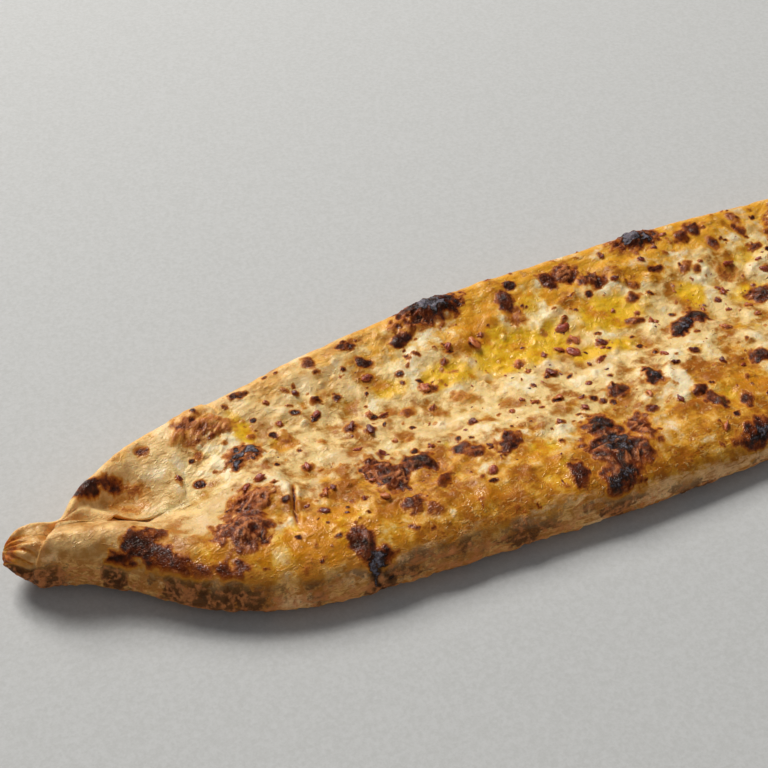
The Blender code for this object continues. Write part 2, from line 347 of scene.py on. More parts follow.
# x, y, half length, half width (mm), strength
BUTTER = [
    (-37, 23, 22, 9, 1.4), (4, 25, 15, 8, 1.4), (40, 21, 6, 6, 1.3), (-70, 23, 13, 6, 1.2),
    (-10, 9, 12, 5, 1.0), (-92, 25, 9, 5, 0.7), (-152, 28, 4, 9, 1.0), (-142, 17, 4, 5, 0.8),
    (-47, 36, 10, 8, 0.8), (-25, 44, 14, 6, 0.7), (-150, -34, 17, 9, 1.5), (-188, -28, 7, 8, 0.7),
    (-66, -47, 7, 8, 1.2), (-65, -32, 8, 5, 0.8), (18, -36, 16, 7, 0.7), (-131, -41, 12, 8, 0.6),
    (-98, -43, 14, 5, 0.5), (61, 11, 8, 5, 0.8), (78, 28, 14, 6, 0.6), (-174, -35, 8, 5, 0.7),
]
LAST_SET_BY_HAND = 62.0


# %% Random spots, freckles and nubs
def random_marks(count, seed):
    """More marks for the stretch that has none listed: places spread along and across it, sizes
    from two millimetres to ten, most of them small, one in three charred."""
    rng = np.random.default_rng(seed)
    share = rng.uniform(-0.95, 0.95, count)
    first = LAST_SET_BY_HAND + 16.0 * (share + 0.2).clip(0.0) / 0.6
    x = first + rng.uniform(0.0, 1.0, count) * (0.5 * LENGTH - 6.0 - first)
    reach = 0.5 * LENGTH - x
    y = share * HALF_WIDTH * along(WIDTH_FAR, reach)
    big = rng.uniform(0.0, 1.0, count) ** 3
    half = 2.0 + 8.0 * big
    burnt = np.where(rng.uniform(size=count) < 0.30, rng.uniform(0.5, 1.0, count), 0.1)
    return list(zip(x, y, half, half * rng.uniform(0.45, 0.9, count), rng.uniform(-60, 60, count),
                    rng.uniform(0.6, 1.0, count), burnt, 0.4 + 1.0 * big,
                    rng.uniform(0.3, 1.0, count)))


def freckles(count, seed):
    """Small browned flecks all over the top, a fraction of a millimetre to two, thicker on the
    rims."""
    rng = np.random.default_rng(seed)
    x = rng.uniform(-0.36, 0.40, count) * LENGTH
    reach = 0.5 * LENGTH - np.abs(x)
    across = rng.uniform(-1.0, 1.0, count)
    across = np.sign(across) * np.abs(across) ** 0.75
    y = across * HALF_WIDTH * along(WIDTH_FAR, reach) * 0.99
    half = 0.6 + 1.3 * rng.uniform(size=count) ** 2
    return list(zip(x, y, half, half * rng.uniform(0.4, 0.9, count), rng.uniform(-60, 60, count),
                    rng.uniform(0.3, 1.0, count), np.zeros(count), rng.uniform(0.1, 0.5, count),
                    np.zeros(count)))


def nubs(count, seed):
    """Pale lumps of unmelted cheese, two to five millimetres across: bare blisters."""
    rng = np.random.default_rng(seed)
    x = rng.uniform(-0.30, 0.38, count) * LENGTH
    y = rng.uniform(-32.0, 42.0, count)
    half = rng.uniform(1.1, 2.4, count)
    none = np.zeros(count)
    return list(zip(x, y, half, half * rng.uniform(0.5, 0.9, count), rng.uniform(-60, 60, count),
                    none, none, rng.uniform(0.5, 1.3, count), none))


def ellipse_share(x, y, centre_x, centre_y, long, wide, turn):
    """0 at an ellipse's centre and 1 on its outline: sqrt((u / long)^2 + (v / wide)^2)."""
    c, s = math.cos(math.radians(turn)), math.sin(math.radians(turn))
    dx, dy = x - centre_x, y - centre_y
    return np.sqrt(((dx * c + dy * s) / long) ** 2 + ((dy * c - dx * s) / wide) ** 2)


def mark_fields(points, marks):
    """Browned, charred, rise and leather of all marks. A mark is full inside its ellipse and
    fades outside; noise pushes its outline in and out and frays it."""
    x, y = points[..., 0], points[..., 1]
    wobble = 0.45 * fractal(points, 7.0, 301, 2) + 0.55 * fractal(points, 2.6, 302, 2)
    mottle = 1.12 + 0.32 * fractal(points, 3.2, 303, 2)
    browned, charred, rise, leather = (np.zeros(x.shape, np.float32) for _ in range(4))
    middle_x = x[:, 0]
    for mark_x, mark_y, long, wide, turn, brown, char, height, wrinkly in marks:
        rows = np.abs(middle_x - mark_x) < 2.2 * max(long, wide)
        if not rows.any():
            continue
        r = ellipse_share(x[rows], y[rows], mark_x, mark_y, long, wide, turn)
        frayed = 1.0 - r + wobble[rows] * min(1.0, 0.28 * long)
        browned[rows] = np.maximum(browned[rows], brown * step(frayed, -0.75, 0.35) * mottle[rows])
        charred[rows] = np.maximum(charred[rows], char * step(frayed, -0.10, 0.65))
        leather[rows] = np.maximum(leather[rows], wrinkly * step(frayed, -0.40, 0.20))
        swell = height * step(1.0 - r, -0.35, 0.8)
        rise[rows] = np.where(np.abs(swell) > np.abs(rise[rows]), swell, rise[rows])
    return browned, charred, rise, leather


def patch_field(points, patches, wobble_seed):
    """Soft patches: strength times a fade from the centre to the edge of each ellipse."""
    x, y = points[..., 0], points[..., 1]
    wobble = 0.35 * fractal(points, 9.0, wobble_seed, 4, 0.7)
    field = np.zeros(x.shape, np.float32)
    for patch_x, patch_y, long, wide, strength in patches:
        r = ellipse_share(x, y, patch_x, patch_y, long, wide, 0.0)
        field = np.maximum(field, strength * step(1.0 - r + wobble, -0.6, 0.8))
    return field


MARKS += random_marks(60, 11)
FRECKLES = freckles(520, 12)
NUBS = nubs(170, 13)
print(f"marks: {len(MARKS)} spots, {len(FRECKLES)} freckles, {len(NUBS)} nubs, {len(BUTTER)} butter patches")

# %% [markdown]
# ## Where the crumbs lie
# Dark red-brown crumbs, bits of topping and burnt cheese, are scattered over the cheese. Their
# places are chosen before the skins are made, because each crumb browns the cheese round it and
# sits on a small swelling of its own.

# %% Crumb places
# x, y, half length (mm)
CRUMBS_BY_HAND = [
    (-164, -2, 1.7), (-158, 0, 1.6), (-155, -5, 1.2), (-140, 0, 1.9), (-138, -15, 1.2),
    (-142, -17, 1.6), (-146, -24, 1.8), (-131, -25, 1.2), (-125, -28, 1.5), (-138, 37, 1.0),
    (-126, 37, 1.1), (-138, 26, 1.2), (-124, 25, 1.5), (-121, 31, 1.6), (-98, 34, 1.7),
    (-181, 16, 1.2), (-116, 13, 2.4), (-111, 8, 1.8), (-107, 17, 1.3), (-102, 14, 1.4),
    (-81, 20, 2.6), (-84, 10, 1.6), (-68, 29, 1.4), (-63, 36, 1.4), (-53, 33, 2.0), (-48, 36, 1.1),
    (-43, 17, 2.0), (-36, 6, 2.1), (-25, 17, 1.6), (-21, 13, 1.9), (-17, 19, 2.0), (-17, 26, 2.1),
    (-9, 12, 1.8), (-16, 3, 1.4), (-120, 1, 1.3), (-114, -5, 1.4), (-106, -1, 0.9), (-77, -6, 1.7),
    (-62, -8, 0.9), (-55, -4, 1.0), (-51, -7, 1.5), (-43, -10, 1.5), (-28, -7, 1.1),
    (-36, -14, 1.2), (-38, -19, 1.2), (-30, -19, 1.2), (-80, -22, 1.1), (-86, -34, 1.7),
    (-97, -11, 1.1), (-51, -23, 1.4), (-18, -32, 2.0), (-14, -25, 1.6), (-6, -33, 1.1),
    (38, -4, 2.0), (26, -1, 1.1), (17, -11, 2.1), (6, -14, 1.3), (6, -7, 1.2), (22, -22, 1.3),
    (47, 13, 1.3), (52, 16, 1.3), (16, 14, 1.2), (55, 4, 1.3), (54, -3, 1.3), (31, 43, 1.2),
    (53, 33, 1.0), (15, 39, 1.3), (18, 52, 1.0), (40, 47, 1.1), (48, 52, 1.4), (0, -52, 1.3),
]
SMALL_CRUMBS = 190
FAR_CRUMBS = 75


def crumb_plan(seed):
    """All crumbs as rows of x, y and half length: the listed ones, larger ones at random on
    the rest of the boat, and small ones all over the cheese, gathered in loose clumps."""
    rng = np.random.default_rng(seed)
    tries = 6 * SMALL_CRUMBS
    x = rng.uniform(-150.0, 185.0, tries)
    across = rng.normal(0.0, 0.42, tries)
    clump = fractal(np.stack([x, 50.0 * across, 0.0 * x], axis=-1), 20.0, 22, 3)
    kept = (np.abs(across) < 0.86) & (rng.uniform(-0.9, 0.9, tries) < clump)
    kept &= rng.uniform(-175.0, -60.0, tries) < x
    x, across = x[kept][:SMALL_CRUMBS], across[kept][:SMALL_CRUMBS]
    small = np.stack([x, across * 50.0 + 3.0, 0.35 + 0.75 * rng.uniform(size=len(x)) ** 2], axis=-1)
    far_x = rng.uniform(LAST_SET_BY_HAND - 2.0, 190.0, FAR_CRUMBS)
    far_y = rng.normal(3.0, 19.0, FAR_CRUMBS).clip(-44.0, 44.0)
    large = np.stack([far_x, far_y, 0.9 + 1.3 * rng.uniform(size=FAR_CRUMBS) ** 1.5], axis=-1)
    narrow = np.abs(large[:, 1]) < 44.0 - 0.45 * (large[:, 0] - 150.0).clip(0.0)
    return np.concatenate([np.array(CRUMBS_BY_HAND, float), large[narrow], small])


CRUMBS = crumb_plan(21)
HALOS = [(x, y, 1.15 * size, 0.9 * size, 0.0, 0.62, 0.0, 0.30 * size, 0.0)
         for x, y, size in CRUMBS if size > 0.8]
print(f"crumbs: {len(CRUMBS)}, {len(HALOS)} of them with a browned halo")

# %% [markdown]
# ## Relief and masks
# One function gives the relief of the whole top, and one gives its masks. Dough and cheese both
# call them with their own points, so a wrinkle or a toasted patch runs on across the line where
# they meet, as it does on a real pide, where cheese bakes onto the rim.

# %% Paths on the top
SLIT = ((-148.4, -5.0), (-152.9, -16.0), (-157.3, -27.0))
PILLOW_EDGE = ((-156.5, 38.0), (-152.3, 28.5), (-150.3, 14.5), (-149.0, 1.0), (-151.0, -12.5),
               (-158.0, -29.5))
RIDGES = [
    ((-32.5, 23.5), (-23.0, 31.5), (-8.0, 38.5)),
    ((-122.5, 33.0), (-119.0, 24.5), (-115.5, 16.5)),
    ((-109.0, -32.0), (-99.5, -27.0), (-90.5, -22.0)),
    ((-79.5, 34.5), (-75.0, 38.5)),
    ((-3.0, -23.0), (3.5, -13.0)),
    ((66.5, 18.5), (73.0, 22.5), (81.5, 24.5)),
]


def path_gap(points, path):
    """Distance in plan from each point to a path of straight pieces, positive on its right-hand
    side, which is toward -Y where the path runs toward +X."""
    xy = points[..., :2]
    best = np.full(xy.shape[:-1], 1e9)
    sign = np.ones_like(best)
    for start, end in zip(np.array(path)[:-1], np.array(path)[1:]):
        line = end - start
        share = np.clip(((xy - start) @ line) / (line @ line), 0.0, 1.0)
        gap = xy - start - share[..., None] * line
        distance = np.linalg.norm(gap, axis=-1)
        closer = distance < best
        best = np.where(closer, distance, best)
        turn = line[0] * gap[..., 1] - line[1] * gap[..., 0]
        sign = np.where(closer, np.where(turn > 0.0, -1.0, 1.0), sign)
    return best * sign


def threads(points, size, seed, turn, stretch):
    """Long wrinkles: ridges of points that are bent by slow hills, and squeezed along the flow so
    that the crests run on as threads."""
    bend = np.stack([hills(points, 4.0 * size, seed), hills(points, 4.0 * size, seed + 1),
                     np.zeros(points.shape[:-1])], axis=-1)
    bent = points + 1.6 * size * bend
    c, s = math.cos(math.radians(turn)), math.sin(math.radians(turn))
    flow = np.stack([(bent[..., 0] * c + bent[..., 1] * s) / stretch,
                     bent[..., 1] * c - bent[..., 0] * s, bent[..., 2]], axis=-1)
    return ridges(flow, size, seed + 2, 2)


def slit_share(points):
    """How open the slit is: full round its middle, closed at both ends."""
    gap = np.hypot(points[..., 0] - SLIT[1][0], points[..., 1] - SLIT[1][1])
    return 1.0 - step(gap, 7.0, 12.0)


# %% Relief of the top
def top_relief(points, across, marks):
    """Height over the smooth skin (mm) and crest share (0 in hollows, 1 on wrinkle crests). Slow
    hills carry lumps, melted threads and bubbles; browned marks are wrinkled like leather; pale
    ridges stand up, the slit is pressed in between two lips, and the pillow of dough at the end
    of the trough drops to the cheese."""
    browned, _, rise, leather = marks
    calm = 1.0 - 0.65 * step(np.abs(across), 0.72, 0.95)
    slow = 1.3 * fractal(points, 26.0, 61, 2) + 1.0 * fractal(points, 12.0, 62, 2)
    lumps = 0.60 * fractal(points, 6.0, 63, 2)
    melted = threads(points, 3.4, 51, 30.0, 2.6)
    busy = step(hills(points, 19.0, 64), -0.35, 0.5)
    folds = threads(points, 3.3, 55, 40.0, 1.8)
    domes = 0.55 * bubbles(points, 6.0, 65) * step(hills(points, 13.0, 66), -0.1, 0.5)
    height = calm * (slow + lumps + domes + (0.25 + 0.45 * busy) * (melted - 0.45)) + rise
    height += 1.6 * leather * (folds - 0.45) + 0.45 * browned * fractal(points, 2.6, 56, 2)
    for path in RIDGES:
        height += 0.9 * np.exp(-((path_gap(points, path) / 1.7) ** 2))
    slit = np.abs(path_gap(points, SLIT) + 0.5 * fractal(points, 7.0, 67, 2))
    height += slit_share(points) * (0.6 * np.exp(-((slit - 1.9) / 0.9) ** 2) - 1.5 * np.exp(-((slit / 0.7) ** 2)))
    edge = path_gap(points, PILLOW_EDGE)
    inside = step(points[..., 1], -30.0, -12.0) * step(-points[..., 1], -52.0, -40.0)
    height += 1.9 * step(edge, -3.5, 3.5) * step(-edge, -28.0, -8.0) * inside
    crest = leather * folds
    return height, crest


# %% Masks of the top
def masks_at(points, across, marks, height, crest):
    """Browned, charred, creamy, plain and buttery shares of every point, 0 to 1. The cheese is
    creamy in the trough and gilded toward both rims; the tails are plain dough."""
    x = points[..., 0]
    browned, charred, rise, _ = marks
    slow, quick = fractal(points, 17.0, 71, 3), fractal(points, 5.0, 72, 3)
    left = step(-x, 55.0, 100.0)
    near_limit = -0.40 + 0.17 * step(-x, 95.0, 130.0) - 0.29 * step(-x, 160.0, 185.0)
    far_limit = 0.55 + 0.28 * left
    creamy = np.minimum((across - near_limit) / 0.30, (far_limit - across) / 0.30) + 0.5
    creamy = np.clip(creamy, -0.45, 1.35) + 0.95 * slow + 0.65 * quick
    tail = np.maximum(step(-x, 182.0, 208.0), step(x, 190.0, 212.0))
    plain = np.maximum(tail, 0.55 * step(-x, 60.0, 125.0) * step(across + 0.3 * slow, 0.40, 0.75))
    buttery = patch_field(points, BUTTER, 73)
    drops = step(fractal(points, 14.0, 74, 4, 0.7), 0.25, 0.75) * step(x, -140.0, -100.0)
    buttery = np.maximum(buttery, 0.55 * drops * (1.0 - tail))
    rim = step(np.abs(across), 0.35, 0.8)
    mottled = 0.17 * step(fractal(points, 10.0, 75, 4, 0.65), -0.05, 0.8) * (0.25 + 0.75 * rim)
    peaks = 0.18 * step(height - rise, 0.6, 2.0) * (0.4 + 0.6 * rim)
    edge = 0.38 * step(across + 0.06 * quick, 0.94, 1.03)
    # The slit's crease is darkened along its line: painted shade in the crack.
    crease = path_gap(points, SLIT) + 0.5 * fractal(points, 7.0, 67, 2)
    crease = 0.85 * np.exp(-((crease / 0.65) ** 2)) * slit_share(points)
    browned = np.maximum(browned, (mottled + peaks) * (1.0 - 0.6 * tail))
    browned = np.maximum(browned, np.maximum(edge, crease))
    return dict(
        creamy=step(creamy, 0.0, 1.0),
        plain=plain,
        buttery=buttery.clip(0.0, 1.0),
        browned=browned.clip(0.0, 1.0),
        charred=charred.clip(0.0, 1.0),
        relief=height,
        crest=crest,
        # Painted light: the far side of the top, which faces the lamp, is painted lighter.
        far_painted_light=step(across, 0.30, 0.75),
    )


# %% [markdown]
# ## From arrays to a mesh
# A loft of equal rings is an array (stations, points, 3). Faces are index arithmetic on that grid,
# and the tips are closed by fans round one point. Points, corners and masks are stored with
# foreach_set, and a UV map runs along and round the boat, so a baked texture has no stretched places.

# %% Loft of rings
def normals_of(rings):
    """Unit normals of a grid of closed rings: the cross product of its slopes along and round."""
    round_slope = np.roll(rings, -1, axis=1) - np.roll(rings, 1, axis=1)
    along_slope = np.gradient(rings, axis=0)
    normal = np.cross(round_slope, along_slope)
    length = np.linalg.norm(normal, axis=-1, keepdims=True)
    return normal / np.maximum(length, 1e-9)


def loft(name, rings, masks):
    """A closed mesh from rings (mm), with quads between rings and a fan onto each end's mean
    point. Face k between rings i and i+1 joins points k and k+1 of both."""
    stations, count = rings.shape[:2]
    tips = rings[[0, -1]].mean(axis=1)
    points = np.concatenate([rings.reshape(-1, 3), tips]) * MM
    i, k = np.meshgrid(np.arange(stations - 1), np.arange(count), indexing="ij")
    after = (k + 1) % count
    quads = np.stack([i * count + k, i * count + after, (i + 1) * count + after,
                      (i + 1) * count + k], axis=-1).reshape(-1, 4)
    quad_u = np.stack([i, i, i + 1, i + 1], axis=-1).reshape(-1, 4) / (stations - 1)
    quad_v = np.stack([k, k + 1, k + 1, k], axis=-1).reshape(-1, 4) / count
    ring = np.arange(count)
    first_tip = np.full(count, stations * count)
    last = (stations - 1) * count
    fans = np.concatenate([
        np.stack([first_tip, (ring + 1) % count, ring], axis=-1),
        np.stack([first_tip + 1, last + ring, last + (ring + 1) % count], axis=-1),
    ])
    fan_u = np.repeat([[0.0] * 3, [1.0] * 3], count, axis=0)
    fan_v = np.concatenate([np.stack([ring + 0.5, ring + 1, ring], axis=-1),
                            np.stack([ring + 0.5, ring, ring + 1], axis=-1)]) / count
    corners = np.concatenate([quads.ravel(), fans.ravel()]).astype(np.int32)
    starts = np.concatenate([np.arange(len(quads)) * 4, len(quads) * 4 + np.arange(len(fans)) * 3])
    mesh = bpy.data.meshes.new(name)
    mesh.vertices.add(len(points))
    mesh.vertices.foreach_set("co", points.astype(np.float32).ravel())
    mesh.loops.add(len(corners))
    mesh.loops.foreach_set("vertex_index", corners)
    mesh.polygons.add(len(starts))
    mesh.polygons.foreach_set("loop_start", starts.astype(np.int32))
    mesh.update(calc_edges=True)
    uv = mesh.uv_layers.new(name="OFBake")
    u = np.concatenate([quad_u.ravel(), fan_u.ravel()])
    v = np.concatenate([quad_v.ravel(), fan_v.ravel()])
    uv.uv.foreach_set("vector", (0.005 + 0.99 * np.stack([u, v], axis=-1)).astype(np.float32).ravel())
    for key, values in masks.items():
        ends = values[[0, -1]].mean(axis=1)
        layer = mesh.attributes.new(key, "FLOAT", "POINT")
        layer.data.foreach_set("value", np.concatenate([values.ravel(), ends]).astype(np.float32))
    mesh.shade_smooth()
    piece = bpy.data.objects.new(name, mesh)
    bpy.context.collection.objects.link(piece)
    flip_if_inside_out(mesh)
    print(f"{name}: {len(quads) * 2 + len(fans)} triangles, {mesh.validate()} repairs")
    return piece


def flip_if_inside_out(mesh):
    """Faces of a closed mesh point outwards when the sum of (centre . normal) times area is
    positive; if not, all are flipped."""
    count = len(mesh.polygons)
    centre, normal, area = np.empty(count * 3), np.empty(count * 3), np.empty(count)
    mesh.polygons.foreach_get("center", centre)
    mesh.polygons.foreach_get("normal", normal)
    mesh.polygons.foreach_get("area", area)
    volume = np.sum(np.sum(centre.reshape(-1, 3) * normal.reshape(-1, 3), axis=1) * area) / 3.0
    if volume < 0.0:
        mesh.flip_normals()
    print(f"{mesh.name}: {abs(volume) * 1e6:.0f} cubic centimetres")


# %% [markdown]
# ## The dough
# The real boat is one piece of dough, rolled thin, with its sides turned in and its ends twisted
# shut. The tail that faces us has a front flap folded over the nose, pleats at the very end, a
# pocket between the two flaps and a scorched knob on the back flap. A mesh could be sculpted, but
# steps and bumps added along the normals by formula are easier to tune.

# %% Folds of the tail
FLAP_EDGE = ((-250.0, 4.0), (-242.5, 3.0), (-239.1, 2.4), (-235.9, 2.4), (-232.5, 4.0),
             (-229.5, 7.5), (-226.5, 11.8), (-221.0, 10.2), (-214.0, 7.5), (-209.0, 4.5),
             (-204.0, 2.0), (-197.0, 3.0))
LOBE = ((-219.0, 13.5), (-214.0, 14.5), (-209.5, 11.5), (-207.0, 8.0))
BACK_LIP = ((-217.0, 16.5), (-209.5, 18.0), (-203.0, 18.5), (-196.5, 18.5), (-190.0, 20.0))


def bump(points, x, y, long, wide, turn, height):
    """A round-topped bump, height times e to the minus squared share of its ellipse."""
    share = ellipse_share(points[..., 0], points[..., 1], x, y, long, wide, turn)
    return height * np.exp(-(share**2))


def tail_folds(points):
    """Upright and outward rise of the folded tail (mm), for the tail at -X. Upright: a step with a
    crease at the front flap's edge, a lobe and a hollow in the pocket, a lip and a knob over it.
    Outward: fine pleats round the end, and soft dents."""
    x, y, z = (points[..., k] for k in range(3))
    top = step(z, 6.0, 12.0)
    edge = path_gap(points, FLAP_EDGE)
    reach = step(-x, 193.0, 206.0)
    flap = 2.2 * step(edge, -0.8, 0.8) * step(-edge, -16.0, -4.0)
    flap -= 1.3 * np.exp(-(((edge + 1.3) / 1.2) ** 2))
    lobe = 1.8 * np.exp(-((path_gap(points, LOBE) / 1.8) ** 2)) * step(-x, 200.0, 206.0)
    pocket = bump(points, -201.0, 9.5, 7.0, 4.0, -8.0, -1.8)
    pocket += bump(points, -228.5, 11.5, 3.0, 2.0, 30.0, -1.2)
    pocket += bump(points, -224.5, 20.0, 5.0, 6.0, 0.0, -3.0) + bump(points, -238.0, 11.0, 7.0, 7.0, 0.0, 1.2)
    lip = path_gap(points, BACK_LIP)
    back = 1.4 * np.exp(-(((lip + 1.8) / 2.4) ** 2)) * step(-x, 186.0, 202.0)
    knob = bump(points, -211.0, 22.5, 4.5, 3.5, 20.0, 1.2)
    upright = top * (reach * flap + lobe + pocket + back + knob)
    fan = np.arctan2(z - 12.0, y + x + 229.0)
    pleats = np.sin(11.0 * fan + 0.6) * step(-x, 233.0, 240.0) * step(-edge, -0.5, 1.5)
    soft = 0.5 * fractal(points, 9.0, 87, 3) * step(-x, 205.0, 225.0)
    hem = 1.1 * step(edge, -0.7, 0.7) * step(-edge, -9.0, -3.0) * step(-x, 230.0, 238.0)
    # The third value is the pleats' inward share; it darkens their grooves as painted shade.
    return upright, 0.5 * pleats + soft + hem, np.clip(-pleats, 0.0, 1.0)


# %% Dough skin
DOUGH_STATIONS = 769
DOUGH_STEPS = (2, 3, 5, 9, 14, 9, 9, 8, 4, 2)


def station_places(count, start, end, power):
    """X of the cross-sections, closer together toward both ends: reach grows as a power."""
    share = np.linspace(-1.0, 1.0, count)
    half = 0.5 * (end - start)
    reach = half * (1.0 - (1.0 - np.abs(share)) ** power)
    return 0.5 * (start + end) + np.sign(share) * reach


def spread(steps):
    """Parameters along the curve: each span is cut into its own number of equal steps."""
    both = (*steps, *steps[::-1])
    return np.concatenate([k + np.arange(n) / n for k, n in enumerate(both)])


def cheese_inside(points, s):
    """How far a point lies inside the cheese's uneven outline, in mm; negative outside."""
    middle = s["middle"][:, None] - SKIN_CENTRE
    near_foot = (s["near"] - np.minimum(RIM_WIDTH_NEAR, 0.82 * s["near"])) * s["trough"]
    far_foot = (s["far"] - np.minimum(RIM_WIDTH_FAR, 0.82 * s["far"])) * s["trough"]
    y = points[..., 1] - middle
    gap = np.minimum(y + near_foot[:, None], far_foot[:, None] - y)
    gap = np.minimum(gap, s["reach"][:, None] - CHEESE_START)
    return gap + 2.5 * fractal(points, 10.0, 41, 3)


def turned_upright(normals, span):
    """Normals that turn straight up inside the rims, so relief never folds over in the trough."""
    upright = step(span, CREST + 0.2, CREST + 1.5)[..., None]
    return normals * (1.0 - upright) + np.array([0.0, 0.0, 1.0]) * upright


def across_share(points, s):
    """-1 at the near edge, 0 on the middle line, 1 at the far edge."""
    y = points[..., 1] - s["middle"][:, None] + SKIN_CENTRE
    half = np.where(y < 0.0, s["near"][:, None], s["far"][:, None])
    return y / np.maximum(half, 1.0)


ALL_MARKS = MARKS + FRECKLES + NUBS + HALOS


def make_dough():
    """The dough's rings: the smooth skin, moved along its normals by the relief, pressed down
    under the cheese, with the masks of its wall added."""
    x = station_places(DOUGH_STATIONS, -0.5 * LENGTH + 0.05, 0.5 * LENGTH - 0.05, 1.3)
    where = spread(DOUGH_STEPS)
    s = sizes_at(x)
    smooth = skin(x, where)
    normals = normals_of(smooth)
    normals *= np.sign(np.sum(normals[:, where.searchsorted(CREST), 2]))
    across = across_share(smooth, s)
    span = np.minimum(where, SECTION_POINTS - where) + np.zeros(across.shape)
    normals = turned_upright(normals, span)
    near = where[None, :] < TROUGH_MIDDLE
    ragged = 0.30 * fractal(smooth, 12.0, 85, 4)
    low_right = 0.5 * step(x, -90.0, 10.0)[:, None]
    wall = 1.0 - step(span + ragged + low_right, 3.7 + 0.6 * near, 4.7 + 0.8 * near)
    over = step(span, 2.9, 4.3)
    marks = [field * over for field in mark_fields(smooth, ALL_MARKS)]
    height, crest = top_relief(smooth, across, marks)
    side = 0.8 * fractal(smooth, 18.0, 81, 3) + 0.75 * fractal(smooth, 5.0, 82, 3, 0.65)
    fibres = threads(smooth, 2.6, 83, 8.0, 3.4)
    side += 0.5 * (fibres - 0.45)
    calm = 1.0 - 0.85 * np.maximum(step(-x, 186.0, 212.0), step(x, 186.0, 212.0))[:, None]
    bare = calm * (1.0 - wall)
    height = (height * bare + side * wall) * step(span, 2.5, 3.3)
    crest = crest * bare + fibres * wall
    inside = cheese_inside(smooth, s)
    sunk = 1.3 * step(inside, 0.0, 4.0) * (span > CREST)
    turned = smooth * np.where(smooth[..., :1] > 0.0, [-1.0, -1.0, 1.0], 1.0)
    folded, outward, pleat_groove_shade = tail_folds(turned)
    shown = step(span, 2.5, 3.3)
    rings = smooth + normals * (height + outward * shown)[..., None]
    rings[..., 2] += folded * shown
    waist = np.exp(-(((turned[..., 0] + 226.0) / 8.0) ** 2)) + 0.5 * step(-turned[..., 0], 228.0, 236.0)
    rings[..., 1] -= 3.4 * waist * step(turned[..., 1], 11.0, 20.0) * np.sign(-smooth[..., 0])
    rings[..., 2] = np.maximum(rings[..., 2] - sunk, 0.0)
    masks = masks_at(smooth, across, marks, height, crest)
    masks["creamy"] *= 1.0 - wall
    masks["wall"] = wall
    floury = step(fractal(smooth * [0.6, 1.0, 1.0], 15.0, 84, 4), -0.15, 0.55)
    floury = np.maximum(floury, 0.9 * step(smooth[..., 0], -110.0, -20.0))
    masks["floury"] = floury * step(wall, 0.05, 0.6) * step(smooth[..., 2], 1.0, 7.0)
    # The wall goes darker toward its bottom; on the tails it is darker and reaches higher, painted contact shade
    # under the lifted ends.
    low = 1.0 - step(smooth[..., 2] - s["base"][:, None], 0.5, 4.0 + 3.0 * (1.0 - calm))
    masks["browned"] = np.maximum(masks["browned"] * (1.0 - 0.15 * wall), (0.22 + 0.45 * (1.0 - calm)) * low * wall)
    left = step(-smooth[..., 0], 80.0, 130.0)
    broad = step(fractal(smooth * [0.7, 1.0, 1.0], 22.0, 86, 3), -0.35, 0.5)
    patchy = step(fractal(smooth * [0.5, 1.0, 1.0], 8.0, 88, 4, 0.7), -0.05, 0.35)
    scorched = (0.70 * left * broad + 0.72 * (1.0 - left) * patchy) * wall
    scorched *= 1.0 - step(np.abs(smooth[..., 0]), 195.0, 215.0)
    masks["browned"] = np.maximum(masks["browned"], scorched)
    # The nose is darkened low down, painted contact shade, and the grooves between its pleats are darkened, painted
    # shade in the creases.
    tip = step(-turned[..., 0], 222.0, 236.0) * (1.0 - step(smooth[..., 2], 9.0, 17.0))
    masks["browned"] = np.maximum(masks["browned"], np.maximum(0.85 * tip, 0.55 * pleat_groove_shade))
    return loft("dough_skin", rings, masks)


dough_skin = make_dough()
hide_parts("dough")
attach(dough_skin, "root")

# %% [markdown]
# ## The cheese
# Melted cheese has no edge of its own: it thins out over the dough and bakes onto it. Its skin
# follows the same section curve, a little above the dough inside an uneven outline and a little
# below it outside, so the line where the two cross is the ragged edge that is seen.

# %% Cheese skin
CHEESE_STATIONS = 741
CHEESE_LINES = 116
UNDER_LINES = 10
CHEESE_EDGE_SPAN = 7.1
CHEESE_TAIL_GAP = 3.0


def make_cheese():
    """The cheese's rings: a top on the section curve, raised toward the middle and sunk outside
    its outline, and an underside 2.6 mm lower."""
    end = 0.5 * LENGTH - CHEESE_START + CHEESE_TAIL_GAP
    x = station_places(CHEESE_STATIONS, -end, end, 1.1)
    s = sizes_at(x)
    rough_where = np.linspace(CHEESE_EDGE_SPAN, SECTION_POINTS - CHEESE_EDGE_SPAN, CHEESE_LINES)
    steps_y = np.abs(np.diff(skin(x, rough_where)[..., 1], axis=1))
    length = np.concatenate([np.zeros((len(x), 1)), np.cumsum(steps_y, axis=1)], axis=1)
    share = (length / length[:, -1:]).mean(axis=0)
    where = np.interp(np.linspace(0.0, 1.0, CHEESE_LINES), share, rough_where)
    smooth = skin(x, where)
    normals = np.cross(np.gradient(smooth, axis=0), np.gradient(smooth, axis=1))
    normals /= np.linalg.norm(normals, axis=-1, keepdims=True)
    normals *= np.sign(normals[..., 2:3])
    normals = turned_upright(normals, np.minimum(where, SECTION_POINTS - where))
    across = across_share(smooth, s)
    marks = mark_fields(smooth, ALL_MARKS)
    height, crest = top_relief(smooth, across, marks)
    inside = cheese_inside(smooth, s)
    lift = 0.40 * np.tanh(inside / 2.0) + 1.1 * step(inside, 1.0, 18.0)
    top = smooth + normals * (height + lift)[..., None]
    picks = np.linspace(CHEESE_LINES - 1, 0, UNDER_LINES).astype(int)
    under = (top - np.array([0.0, 0.0, 2.6]))[:, picks]
    masks = masks_at(smooth, across, marks, height, crest)
    masks = {key: np.concatenate([value, value[:, picks]], axis=1) for key, value in masks.items()}
    return loft("cheese_skin", np.concatenate([top, under], axis=1), masks)


cheese_skin = make_cheese()
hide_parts("cheese")
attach(cheese_skin, "root")

# %% [markdown]
# ## Crumbs
# The crumbs are real meshes, as particles would not leave the program. Each starts as a ball with
# a few dozen faces, is squashed and knocked out of round, and is set into the skin at its place.

